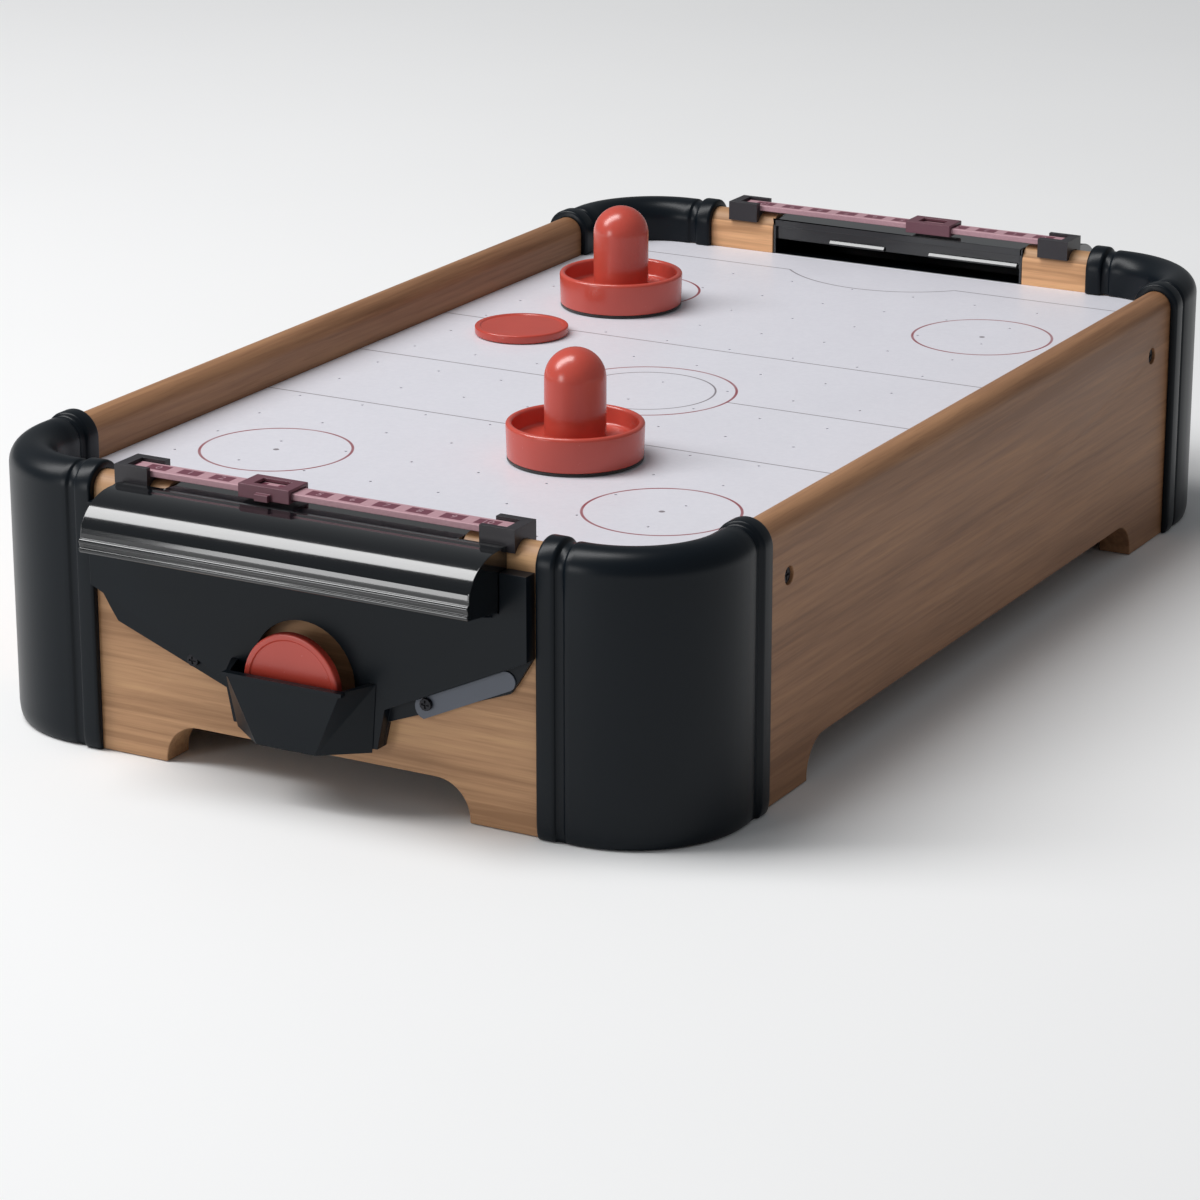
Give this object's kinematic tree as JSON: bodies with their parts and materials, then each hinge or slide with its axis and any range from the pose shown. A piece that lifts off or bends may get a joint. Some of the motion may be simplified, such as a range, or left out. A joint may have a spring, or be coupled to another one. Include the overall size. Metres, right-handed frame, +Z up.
{
  "type": "tabletop air hockey game",
  "caption": "Tabletop air hockey game with woodgrain rails, moulded corner caps, a fan-blown perforated field, goal hoods with puck trays, sliding score counters, strikers and pucks.",
  "frame": {"origin": "middle of the footprint, on the surface the feet stand on", "axes": "+Z up, Y along the game with the front goal at -Y, X across it"},
  "size_m": [0.3114, 0.564, 0.1354],
  "materials": {
    "woodgrain_board": "printed woodgrain foil on fibreboard, satin",
    "black_moulding": "moulded, semi-gloss",
    "gloss_black_moulding": "polished moulding, high gloss",
    "dark_moulding": "moulded, satin",
    "red_moulding": "moulded, glossy",
    "white_field": "white printed film on fibreboard, smooth",
    "hardboard": "raw hardboard",
    "white_moulding": "moulded, satin",
    "score_strip": "printed strip, satin",
    "felt": "pressed felt",
    "steel": "zinc plated",
    "cell_wrap": "plain printed sleeve, gloss",
    "sprung_brass": "stamped sheet",
    "wire_sleeve": "PVC sleeve"
  },
  "bodies": {
    "table": {"side_panel_left": "woodgrain_board", "side_panel_right": "woodgrain_board", "end_panel_front": "woodgrain_board", "end_panel_rear": "woodgrain_board", "corner_cap_front_left": "black_moulding", "corner_cap_front_right": "black_moulding", "corner_cap_rear_left": "black_moulding", "corner_cap_rear_right": "black_moulding", "playfield": "white_field", "chamber_base": "hardboard", "side_cleat_left": "hardboard", "side_cleat_right": "hardboard", "end_cleat_front": "hardboard", "end_cleat_rear": "hardboard", "fan_housing": "black_moulding", "motor_can": "steel", "battery_box": "black_moulding", "battery_1": "cell_wrap", "battery_2": "cell_wrap", "battery_3": "cell_wrap", "battery_4": "cell_wrap", "contact_plate_inner": "sprung_brass", "contact_plate_outer": "sprung_brass", "switch_body": "black_moulding", "wire_battery_to_switch": "wire_sleeve", "wire_switch_to_motor": "wire_sleeve", "wire_battery_to_motor": "wire_sleeve", "goal_hood_front": "gloss_black_moulding", "puck_chute_front": "black_moulding", "puck_tray_front": "black_moulding", "score_bracket_front_left": "dark_moulding", "score_bracket_front_right": "dark_moulding", "score_strip_front": "score_strip", "chute_screw_front_left": "steel", "chute_screw_front_right": "steel", "goal_hood_rear": "gloss_black_moulding", "puck_chute_rear": "black_moulding", "puck_tray_rear": "black_moulding", "score_bracket_rear_left": "dark_moulding", "score_bracket_rear_right": "dark_moulding", "score_strip_rear": "score_strip", "chute_screw_rear_left": "steel", "chute_screw_rear_right": "steel", "side_screw_left_front": "steel", "side_screw_left_rear": "steel", "side_screw_right_front": "steel", "side_screw_right_rear": "steel"},
    "striker_at_front": {"striker_front": "red_moulding", "striker_felt_front": "felt"},
    "striker_at_rear": {"striker_rear": "red_moulding", "striker_felt_rear": "felt"},
    "field_puck": {"puck_field": "red_moulding"},
    "tray_puck": {"puck_in_tray": "red_moulding"},
    "score_slider_at_front": {"score_slider_front": "dark_moulding"},
    "score_slider_at_rear": {"score_slider_rear": "dark_moulding"},
    "fan": {"impeller": "white_moulding", "motor_shaft": "steel"},
    "rocker": {"switch_rocker": "red_moulding"},
    "battery_door": {"battery_cover": "black_moulding"}
  },
  "joints": [
    {"name": "striker_front_slide", "type": "slide", "parent": "table", "child": "striker_at_front", "axis": [0, 1, 0], "range_m": [-0.112, 0.095]},
    {"name": "striker_rear_slide", "type": "slide", "parent": "table", "child": "striker_at_rear", "axis": [1, 0, 0], "range_m": [-0.033, 0.188]},
    {"name": "puck_field_slide", "type": "slide", "parent": "table", "child": "field_puck", "axis": [1, 0, 0], "range_m": [-0.0268, 0.2088]},
    {"name": "puck_tray_lift", "type": "slide", "parent": "table", "child": "tray_puck", "axis": [0, 0, 1], "range_m": [0, 0.018]},
    {"name": "score_front_slide", "type": "slide", "parent": "table", "child": "score_slider_at_front", "axis": [1, 0, 0], "range_m": [-0.039, 0.079]},
    {"name": "score_rear_slide", "type": "slide", "parent": "table", "child": "score_slider_at_rear", "axis": [1, 0, 0], "range_m": [-0.0746, 0.0434]},
    {"name": "fan_spin", "type": "hinge", "parent": "table", "child": "fan", "pos_m": [0, 0, 0.06], "axis": [0, 0, 1], "continuous": true},
    {"name": "rocker_tilt", "type": "hinge", "parent": "table", "child": "rocker", "pos_m": [-0.15, -0.04, 0.055], "axis": [0, 0, 1], "range_deg": [0, 16]},
    {"name": "battery_door_slide", "type": "slide", "parent": "table", "child": "battery_door", "axis": [0, 1, 0], "range_m": [0, 0.062]}
  ]
}
